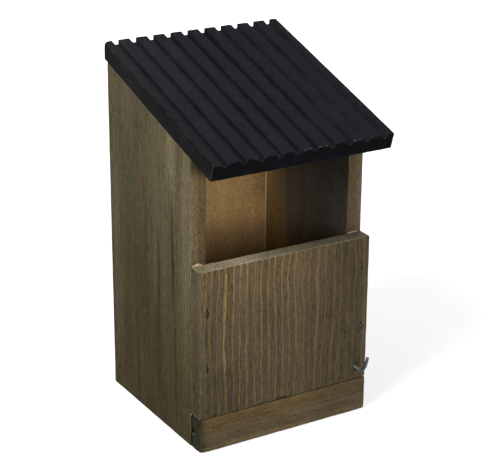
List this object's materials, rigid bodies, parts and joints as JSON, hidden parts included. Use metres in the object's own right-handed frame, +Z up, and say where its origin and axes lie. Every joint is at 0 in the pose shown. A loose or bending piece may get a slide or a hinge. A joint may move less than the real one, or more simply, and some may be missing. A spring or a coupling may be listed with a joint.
{
  "type": "robin nest box",
  "caption": "Open-fronted wooden nest box with a low front board, a sloping grooved black roof, a slide-out base held by a turn hook, and a keyhole hanger on the back.",
  "frame": {"origin": "middle of the box's footprint, on the underside of the floor", "axes": "+X to the right seen from the front, +Y towards the back, +Z up"},
  "size_m": [0.1448, 0.1564, 0.2677],
  "materials": {
    "side_wood": "olive brown stain, matte",
    "back_wood": "orange brown stain, matte",
    "front_wood": "dark stain with ochre grain, matte",
    "batten_wood": "warm brown stain, matte",
    "floor_wood": "brown stain, matte",
    "roof_paint": "matte black paint on wood",
    "dowel_wood": "bare beech",
    "zinc_wire": "dull zinc plate",
    "zinc_plate": "bright zinc plate",
    "brad_steel": "dull steel, stained over",
    "roof_brad_paint": "steel, painted over black"
  },
  "bodies": {
    "box": {"left_side": "side_wood", "right_side": "side_wood", "back_board": "back_wood", "front_panel": "front_wood", "roof_board": "roof_paint", "hanger_plate": "zinc_plate", "hanger_screws": "zinc_plate", "front_panel_brads": "brad_steel", "back_board_brads": "brad_steel", "roof_brads": "roof_brad_paint"},
    "base": {"floor_board": "floor_wood", "base_batten": "batten_wood", "batten_dowels": "dowel_wood"},
    "hook": {"turn_hook": "zinc_wire"}
  },
  "joints": [
    {"name": "base_slide", "type": "slide", "parent": "box", "child": "base", "axis": [0, -1, 0], "range_m": [0, 0.115]},
    {"name": "hook_turn", "type": "hinge", "parent": "box", "child": "hook", "pos_m": [0.0602, -0.073, 0.037], "axis": [0, 1, 0], "range_deg": [0, 165]}
  ]
}
